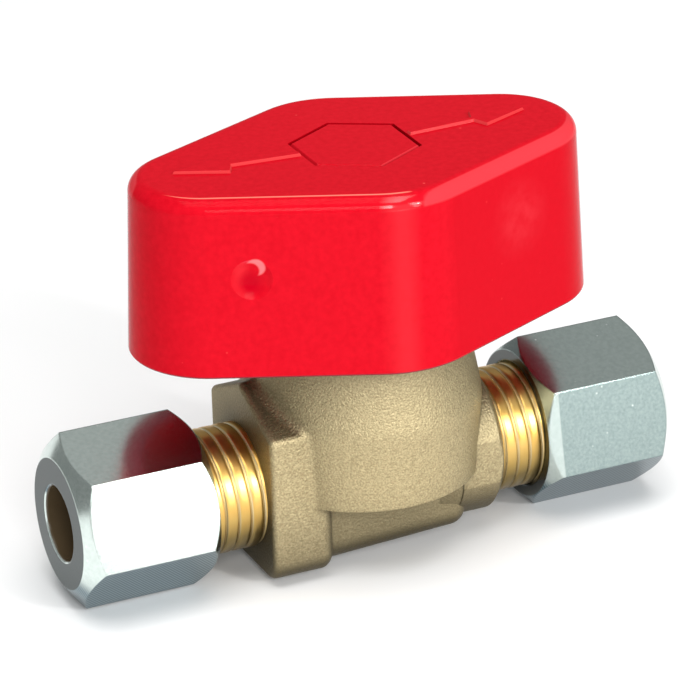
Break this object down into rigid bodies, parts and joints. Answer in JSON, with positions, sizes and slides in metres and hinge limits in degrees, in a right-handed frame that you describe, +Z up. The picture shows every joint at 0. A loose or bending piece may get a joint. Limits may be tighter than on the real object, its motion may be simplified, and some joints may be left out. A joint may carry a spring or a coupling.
{
  "type": "quick closing valve",
  "caption": "Quarter-turn gas shut-off valve with a forged brass body, rhombic red handle and hexagon union nuts for small tube.",
  "frame": {"origin": "where the pipe axis and the stem axis cross, inside the body", "axes": "+X along the pipe towards the outlet, +Z up along the stem towards the handle, -Y towards the front"},
  "size_m": [0.0706, 0.034, 0.0468],
  "materials": {
    "red_plastic": "glossy moulded",
    "forged_brass": "shot-blasted forging",
    "turned_brass": "turned",
    "zinc_steel": "bright zinc plated",
    "bare_steel": "turned",
    "spring_steel": "drawn wire",
    "seal_rubber": "moulded",
    "washer_plastic": "plain"
  },
  "bodies": {
    "valve": {"valve_body": "forged_brass", "bonnet": "turned_brass", "bonnet_o_ring": "seal_rubber", "closing_spring": "spring_steel"},
    "piston": {"piston": "turned_brass", "seat_seal": "seal_rubber", "seal_washer": "bare_steel", "seal_screw": "bare_steel"},
    "handle": {"handle": "red_plastic", "handle_cap": "red_plastic", "handle_screw": "zinc_steel", "screw_washer": "zinc_steel", "stem": "turned_brass", "stem_o_ring_lower": "seal_rubber", "stem_o_ring_upper": "seal_rubber", "thrust_washer": "washer_plastic", "cam_pin": "bare_steel"},
    "left_ring": {"left_cutting_ring": "bare_steel"},
    "left_nut": {"left_union_nut": "zinc_steel"},
    "right_ring": {"right_cutting_ring": "bare_steel"},
    "right_nut": {"right_union_nut": "zinc_steel"}
  },
  "joints": [
    {"name": "handle_turn", "type": "hinge", "parent": "valve", "child": "handle", "pos_m": [0, 0, 0.0215], "axis": [0, 0, -1], "range_deg": [0, 90]},
    {"name": "piston_lift", "type": "slide", "parent": "valve", "child": "piston", "axis": [0, 0, -1], "range_m": [0, 0.0025], "deforming": ["closing_spring"]},
    {"name": "left_ring_slide", "type": "slide", "parent": "valve", "child": "left_ring", "axis": [-1, 0, 0], "range_m": [0, 0.006]},
    {"name": "left_nut_turn", "type": "hinge", "parent": "left_ring", "child": "left_nut", "pos_m": [-0.028, 0, 0], "axis": [-1, 0, 0], "range_deg": [0, 1440]},
    {"name": "right_ring_slide", "type": "slide", "parent": "valve", "child": "right_ring", "axis": [1, 0, 0], "range_m": [0, 0.006]},
    {"name": "right_nut_turn", "type": "hinge", "parent": "right_ring", "child": "right_nut", "pos_m": [0.027, 0, 0], "axis": [1, 0, 0], "range_deg": [0, 1440]}
  ],
  "couplings": [
    {"joint": "handle_turn", "follows": "piston_lift", "rad_per_m": 628.32},
    {"joint": "left_nut_turn", "follows": "left_ring_slide", "rad_per_m": 4188.8},
    {"joint": "right_nut_turn", "follows": "right_ring_slide", "rad_per_m": 4188.8}
  ]
}
